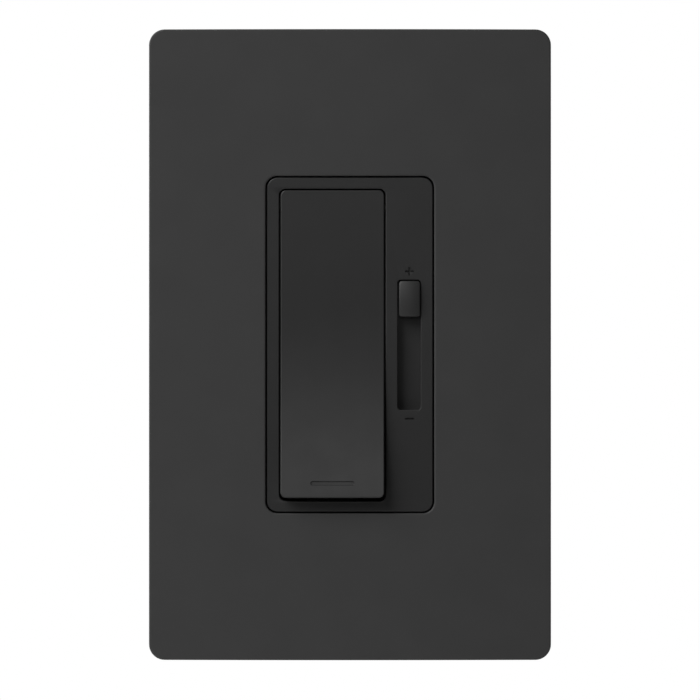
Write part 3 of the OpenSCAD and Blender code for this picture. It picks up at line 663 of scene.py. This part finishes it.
def face_frame():
    outer = rounded_outline((FACE_W, FACE_H, FACE_CORNER), corner=10)
    well = rounded_outline(WELL, WELL_X, WELL_Z, True)
    slot = rounded_outline(SLOT, SLOT_X, SLOT_Z, True)
    inner_x = FACE_W / 2 - FACE_SIDE
    inner_z = FACE_H / 2 - FACE_SIDE
    cavity = rounded_outline((2 * inner_x, 2 * inner_z, 0.3), 0.0, 0.0, True)
    shape = Shape()
    outer_front, outer_rear = walls(shape, outer, FACE_FRONT, SHEET_FRONT, FACE_FILLET)
    well_front, well_rear = walls(shape, well, FACE_FRONT, FACE_SKIN_REAR, FACE_FILLET)
    slot_front, slot_rear = walls(shape, slot, FACE_FRONT, FACE_SKIN_REAR, SLOT_FILLET)
    fronts = [outer_front, well_front, slot_front]
    for mark in (plus_outline(MARK_X, PLUS_Z), minus_outline(MARK_X, MINUS_Z)):
        mark_front, mark_rear = walls(shape, mark, FACE_FRONT, FACE_FRONT + MARK_DEPTH, 0.05, 2)
        shape.fill([mark_rear])
        fronts.append(mark_front)
    shape.fill(fronts)
    cavity_rim = shape.add([(x, SHEET_FRONT, z) for x, z in cavity(0.0)])
    cavity_floor = shape.add([(x, FACE_SKIN_REAR, z) for x, z in cavity(0.0)])
    shape.bridge(cavity_rim, cavity_floor)
    shape.fill([outer_rear, cavity_rim])
    shape.fill([cavity_floor, well_rear, slot_rear])
    face_supports(shape, inner_x, inner_z)
    build(shape, "trim_face_frame", "face_frame", *finish_of("face_frame"))


def face_supports(shape, inner_x, inner_z):
    """Web beside the well, pad at the hinge, and the four hooked legs that grip the strap."""
    web = WELL_X + WELL[0] / 2
    front = FACE_SKIN_REAR - OVERLAP
    shape.block((web, front, -inner_z - OVERLAP), (web + WEB, SHEET_FRONT, inner_z + OVERLAP), 0.05)
    shape.block((-inner_x - OVERLAP, front, HINGE[1] - HINGE_PAD),
                (WELL_X - WELL[0] / 2, SHEET_FRONT, HINGE[1] + HINGE_PAD), 0.05)
    for s in (-1, 1):
        for z in LEG_Z:
            leg = sorted((s * LEG[0], s * LEG[1]))
            hook = sorted((s * HOOK[0], s * HOOK[1]))
            shape.block((leg[0], STRAP_FRONT - 1, z - LEG_HALF), (leg[1], LEG_REAR, z + LEG_HALF), 0.15)
            shape.block((hook[0], HOOK_FRONT, z - LEG_HALF), (hook[1], LEG_REAR, z + LEG_HALF), 0.2)


# ---- Paddle ----

def arc_drop(dz):
    return SWEEP_RADIUS - math.sqrt(SWEEP_RADIUS ** 2 - dz ** 2)


def face_y(z):
    """Front of the paddle at a height: flat, then swept outwards, then straight."""
    if z >= SWEEP_TOP:
        return FACE_FRONT
    if z >= SWEEP_BOTTOM:
        return FACE_FRONT - arc_drop(SWEEP_TOP - z)
    drop = arc_drop(SWEEP_TOP - SWEEP_BOTTOM)
    return FACE_FRONT - drop - (SWEEP_BOTTOM - z) * math.tan(SWEEP_SLOPE)


def paddle_rear(z):
    """Rear edge of the paddle's sides, tapered so that it stays clear when the paddle is pressed."""
    return PADDLE_SIDE_REAR - max(HINGE[1] - z, 0) * PRESS_TAN


class Ladder:
    """Rounded rectangle whose left and right points pair up in rows, so a swept face fills in strips."""

    def __init__(self, half_w, top, bottom, radius, levels, corner=8):
        self.size = (half_w, top, bottom, radius)
        self.levels = levels
        self.corner = corner

    def side(self, inset):
        half_w, top, bottom, r = self.size
        half_w, top, bottom, r = half_w - inset, top - inset, bottom + inset, max(r - inset, 0.1)
        steps = [QUARTER * i / self.corner for i in range(self.corner + 1)]
        upper = [(half_w - r + r * math.sin(a), top - r + r * math.cos(a)) for a in steps]
        lower = [(half_w - r + r * math.cos(a), bottom + r - r * math.sin(a)) for a in steps]
        return upper + [(half_w, z) for z in self.levels] + lower

    def ring(self, inset, depth):
        right = self.side(inset)
        return [(WELL_X + x, depth(z), z) for x, z in right] + \
            [(WELL_X - x, depth(z), z) for x, z in reversed(right)]


def rows(shape, ring, first, last):
    """Strips between the paired left and right points of a ring."""
    for i in range(first, last):
        j = len(ring) - 1 - i
        shape.faces.append((ring[i], ring[i + 1], ring[j - 1], ring[j]))


def paddle():
    levels = FLAT_LEVELS + [SWEEP_TOP - i for i in range(int(SWEEP_TOP - SWEEP_BOTTOM) + 1)]
    outer = Ladder(PADDLE_HALF, PADDLE_TOP, PADDLE_BOTTOM, PADDLE_CORNER, levels)
    split = outer.corner + len(levels)
    rings = []
    for i in range(6):
        a = QUARTER * i / 5
        inset = PADDLE_FILLET * (1 - math.sin(a))
        depth = PADDLE_FILLET * (1 - math.cos(a))
        rings.append(outer.ring(inset, lambda z, d=depth: face_y(z) + d))
    rings.append(outer.ring(0.0, paddle_rear))
    rings.append(outer.ring(PADDLE_SIDE, paddle_rear))
    rings.append(outer.ring(PADDLE_SIDE, lambda z: face_y(z) + PADDLE_SKIN))
    shape = Shape()
    numbers = shape.loft(rings)
    front = numbers[0]
    rows(shape, front, 0, split)
    lower = front[split:len(front) - split]
    bar_front = paddle_bar(shape)
    shape.fill([lower, bar_front])
    rows(shape, numbers[-1], 0, len(numbers[-1]) // 2 - 1)
    paddle_fittings(shape)
    build(shape, "trim_paddle", "paddle", *finish_of("paddle"))


def paddle_bar(shape):
    """Plain sunken bar near the paddle's lower edge. Returns its front loop."""
    outline = bar_outline(BAR[0] / 2, BAR[1] / 2, WELL_X, BAR_Z)
    profile = [(0.05, 0.0), (0.0, 0.06), (0.0, BAR_DEPTH - 0.05), (-0.04, BAR_DEPTH)]
    rings = [[(x, face_y(z) + depth, z) for x, z in outline(inset)] for inset, depth in profile]
    numbers = shape.loft(rings)
    shape.fill([numbers[-1]])
    return numbers[0]


def paddle_fittings(shape):
    """Ribs, post, trunnions and stop lip behind the paddle's face."""
    shape.block((WELL_X - RIB_HALF, RIB_FRONT, RIB_STEP), (WELL_X + RIB_HALF, RIB_REAR, RIB_TOP), 0.1)
    shape.block((WELL_X - RIB_HALF, RIB_FRONT_LOW, RIB_BOTTOM),
                (WELL_X + RIB_HALF, RIB_REAR, RIB_STEP), 0.1)
    shape.prism(circle_outline(POST_RADIUS, WELL_X, PLUNGER_Z), POST_FRONT, POST_REAR, 0.2)
    for z in CROSS_RIB_Z:
        front = face_y(z) + PADDLE_SKIN - 0.2
        shape.block((WELL_X - PADDLE_HALF + 1, front, z - RIB_HALF),
                    (WELL_X + PADDLE_HALF - 1, CROSS_RIB_REAR, z + RIB_HALF), 0.08)
    pin = circle_outline(PIN_RADIUS, HINGE[0], HINGE[1], 24)
    shape.prism(pin, WELL_X - PADDLE_HALF - PIN_LEFT, WELL_X - PADDLE_HALF + 1, 0.15, "x")
    shape.prism(pin, WELL_X + PADDLE_HALF - 1, WELL_X + PADDLE_HALF + PIN_RIGHT, 0.15, "x")
    shape.block((WELL_X - STOP_LIP_HALF, FACE_SKIN_REAR + 0.05, PADDLE_BOTTOM - 1.2),
                (WELL_X + STOP_LIP_HALF, FACE_SKIN_REAR + 0.85, PADDLE_BOTTOM + 0.5), 0.15)


# ---- Slider knob ----

def arc_sag(radius, reach):
    return radius - math.sqrt(radius ** 2 - reach ** 2)


def slider_knob():
    width = KNOB_HIGH[0] - KNOB_LOW[0] + KNOB_SPREAD
    height = KNOB_HIGH[2] - KNOB_LOW[2]
    middle = (KNOB_LOW[2] + KNOB_HIGH[2]) / 2
    front = KNOB_LOW[1] + KNOB_SINK
    outline = rounded_outline((width, height, 0.5), KNOB_X, middle, corner=6, side=14)

    def dome(x, z):
        return front + arc_sag(KNOB_ROLL, x - KNOB_X) + arc_sag(KNOB_DOME, z - middle)

    rings = [[(x, KNOB_REAR, z) for x, z in outline(0.0)]]
    for i in range(6):
        a = QUARTER * i / 5
        inset = KNOB_FILLET * (1 - math.cos(a))
        depth = KNOB_FILLET * (1 - math.sin(a))
        rings.append([(x, dome(x, z) + depth, z) for x, z in outline(inset)])
    edge = outline(KNOB_FILLET)
    for t in (0.98, 0.85, 0.7, 0.55, 0.4, 0.25, 0.1):
        ring = [(KNOB_X + t * (x - KNOB_X), middle + t * (z - middle)) for x, z in edge]
        rings.append([(x, dome(x, z), z) for x, z in ring])
    shape = Shape()
    numbers = shape.loft(rings)
    shape.fill([numbers[0]])
    centre = shape.add([(KNOB_X, front, middle)])[0]
    last = numbers[-1]
    for i, point in enumerate(last):
        shape.faces.append((point, last[(i + 1) % len(last)], centre))
    shape.block((KNOB_X - 1, KNOB_REAR - 0.4, middle - 2), (KNOB_X + 1, -3.4, middle + 2), 0.1)
    body, material, slot = finish_of("slider_knob")
    build(shape, "trim_slider_knob", "slider_knob", body, MATERIALS["knob_graphite"], slot)


# ---- Hardware ----

def merge_flat(bm):
    """Joins neighbouring faces that lie in one plane."""
    bmesh.ops.dissolve_limit(bm, angle_limit=math.radians(0.5), verts=bm.verts, edges=bm.edges)


def soften(node, width, segments=2, angle=32):
    """Copy of a CAD node with its sharp edges rounded and its flat faces merged."""
    mesh = NODES[node].data.copy()
    obj = bpy.data.objects.new("fine_" + node, mesh)
    bpy.context.scene.collection.objects.link(obj)
    bm = bmesh.new()
    bm.from_mesh(mesh)
    bmesh.ops.remove_doubles(bm, verts=bm.verts, dist=0.002 * MM)
    merge_flat(bm)
    bmesh.ops.triangulate(bm, faces=[f for f in bm.faces if len(f.verts) > 4])
    limit = math.radians(angle)
    sharp = [e for e in bm.edges if len(e.link_faces) == 2 and e.calc_face_angle() > limit]
    bmesh.ops.bevel(bm, geom=sharp, offset=width * MM, segments=segments, profile=0.5,
                    affect="EDGES", clamp_overlap=False)
    merge_flat(bm)
    bm.to_mesh(mesh)
    bm.free()
    return place(obj, node, *finish_of(node))


def helix(radius, start, end, turns, wire, x, z, sides=10, per_turn=28):
    """Round wire wound along Y."""
    shape = Shape()
    count = int(turns * per_turn)
    rings = []
    for k in range(count + 1):
        t = k / count
        angle = 2 * math.pi * turns * t
        y = start + wire / 2 + t * (end - start - wire)
        ring = []
        for i in range(sides):
            b = 2 * math.pi * i / sides
            r = radius + wire / 2 * math.cos(b)
            ring.append((x + r * math.cos(angle), y + wire / 2 * math.sin(b), z + r * math.sin(angle)))
        rings.append(ring)
    numbers = shape.loft(rings)
    shape.fill([numbers[0]])
    shape.fill([numbers[-1]])
    return shape


def plunger_spring():
    low, high = box_mm("plunger_spring")
    shape = helix(SPRING_RADIUS, low[1], high[1], SPRING_TURNS, SPRING_WIRE, WELL_X, PLUNGER_Z)
    obj = build(shape, "fine_plunger_spring", "plunger_spring", *finish_of("plunger_spring"))
    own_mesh(obj)


def squircle(value):
    """Pushes a sine or cosine outwards, so the winding hugs a square core section."""
    return math.copysign(abs(value) ** 0.55, value)


def winding():
    """Enamelled wire wound round the choke's core, turn by turn."""
    low, high = box_mm("choke_winding")
    centre = [(a + b) / 2 for a, b in zip(low, high)]
    outer = (high[0] - low[0]) / 2
    depth = (high[1] - low[1]) / 2
    wire = CHOKE_WIRE
    middle = (outer + CHOKE_BORE) / 2
    half = (outer - CHOKE_BORE) / 2 - wire
    per_turn = 20
    count = CHOKE_TURNS * per_turn
    rings = []
    for k in range(count):
        theta = 2 * math.pi * k / per_turn
        phi = 2 * math.pi * k / count
        a = squircle(math.cos(theta))
        b = squircle(math.sin(theta))
        reach = middle + half * a
        along = (depth - wire) * b
        spot = Vector((reach * math.cos(phi), along, reach * math.sin(phi)))
        out = Vector((math.cos(phi) * math.cos(theta), math.sin(theta), math.sin(phi) * math.cos(theta)))
        side = Vector((-math.sin(phi), 0.0, math.cos(phi)))
        ring = []
        for i in range(6):
            angle = 2 * math.pi * i / 6
            point = spot + wire * (math.cos(angle) * out + math.sin(angle) * side)
            ring.append([c + p for c, p in zip(centre, point)])
        rings.append(ring)
    shape = Shape()
    shape.loft(rings, close=True)
    build(shape, "fine_choke_winding", "choke_winding", *finish_of("choke_winding"))


# Width of the rounded edges of each node that keeps its CAD shape, in millimetres
SOFT_EDGES = {
    "plate_carrier": 0.15, "carrier_screws": 0.12, "dust_shutter": 0.1, "mounting_strap": 0.14,
    "insulating_sheet": 0.04, "box_screws": 0.14, "screw_retainers": 0.06, "ground_screw": 0.14,
    "housing": 0.22,
    "housing_screws": 0.08, "terminal_plates": 0.12, "terminal_screws": 0.18, "circuit_board": 0.06,
    "board_screws": 0.08, "switch_cover": 0.15, "switch_base": 0.1, "switch_plunger": 0.1,
    "contact_rocker": 0.05, "rocker_tips": 0.08, "common_terminal": 0.04, "fixed_contacts": 0.04,
    "pot_frame": 0.12, "pot_track": 0.05, "pot_carriage": 0.12, "pot_wiper": 0.04,
    "transistor_bodies": 0.15, "transistor_tabs": 0.08, "transistor_leads": 0.03,
    "insulator_pads": 0.03, "transistor_screws": 0.1, "transistor_nuts": 0.1, "choke_core": 0.15,
    "film_capacitor": 0.35, "electrolytic_capacitor": 0.4, "surge_disc": 0.5, "fuse_tube": 0.25,
    "control_chip": 0.04, "chip_resistors": 0.06,
}


# ---- Stage ----

def around(side, height, reach):
    """Place on a sphere round the part: degrees to the right of the front, degrees up, metres away."""
    a = math.radians(side)
    e = math.radians(height)
    return Vector((math.sin(a) * math.cos(e), -math.cos(a) * math.cos(e), math.sin(e))) * reach


def lamp(name, place_at, size, power):
    """Square softbox that faces the part."""
    data = bpy.data.lights.new(name, "AREA")
    data.shape = "SQUARE"
    data.size = size
    data.energy = power
    obj = bpy.data.objects.new(name, data)
    obj.location = place_at
    obj.rotation_euler = (-place_at).to_track_quat("-Z", "Y").to_euler()
    bpy.context.scene.collection.objects.link(obj)


def world(strength):
    """White to the camera, and a dimmer even glow for light and reflections."""
    data = bpy.data.worlds.new("studio")
    data.use_nodes = True
    nodes = data.node_tree.nodes
    links = data.node_tree.links
    nodes.clear()
    seen = nodes.new("ShaderNodeBackground")
    glow = nodes.new("ShaderNodeBackground")
    glow.inputs["Strength"].default_value = strength
    path = nodes.new("ShaderNodeLightPath")
    mix = nodes.new("ShaderNodeMixShader")
    out = nodes.new("ShaderNodeOutputWorld")
    seen.inputs["Color"].default_value = (1.0, 1.0, 1.0, 1.0)
    glow.inputs["Color"].default_value = (1.0, 1.0, 1.0, 1.0)
    links.new(path.outputs["Is Camera Ray"], mix.inputs["Fac"])
    links.new(glow.outputs["Background"], mix.inputs[1])
    links.new(seen.outputs["Background"], mix.inputs[2])
    links.new(mix.outputs["Shader"], out.inputs["Surface"])
    bpy.context.scene.world = data


def floor():
    bpy.ops.mesh.primitive_circle_add(vertices=96, radius=FLOOR_RADIUS, fill_type="NGON",
                                      location=(0, 0, FLOOR_Z))
    obj = bpy.context.object
    obj.name = "floor"
    tree = Tree("floor_paper")
    tree.link(tree.mix(tree.noise(60.0), (0.74, 0.74, 0.74), (0.76, 0.76, 0.76)),
              tree.shader.inputs["Base Color"])
    tree.shader.inputs["Roughness"].default_value = 0.85
    tree.bump(tree.noise(0.8, 3.0), 0.05, 0.2)
    obj.data.materials.append(tree.material)


def camera():
    data = bpy.data.cameras.new("camera")
    data.sensor_width = SENSOR_WIDTH
    data.lens = SENSOR_WIDTH * CAMERA_DISTANCE / VIEW_WIDTH
    data.clip_start = 0.01
    obj = bpy.data.objects.new("camera", data)
    obj.location = (0.0, PLATE_FRONT * MM - CAMERA_DISTANCE, CAMERA_Z)
    obj.rotation_euler = (QUARTER, 0.0, 0.0)
    bpy.context.scene.collection.objects.link(obj)
    bpy.context.scene.camera = obj


# Each softbox: degrees to the right of the front, degrees up, metres away, side in metres, watts
LAMPS = {
    "key": (-45, 40, 2.1, 1.35, 44.5),
    "side": (-75, 15, 2.1, 0.9, 17.0),
    "front": (0, 14, 1.4, 0.25, 0.7),
    "rear_left": (-140, 20, 1.4, 1.0, 9.0),
    "rear_right": (120, 14, 1.4, 1.0, 9.0),
}


def studio():
    view = bpy.context.scene.view_settings
    view.view_transform = "Standard"
    view.look = "None"
    world(0.01)
    floor()
    camera()
    for name, (side, height, reach, size, power) in LAMPS.items():
        lamp(name, around(side, height, reach), size, power)


wall_plate()
face_frame()
paddle()
slider_knob()
plunger_spring()
winding()
for name, width in SOFT_EDGES.items():
    soften(name, width)
studio()
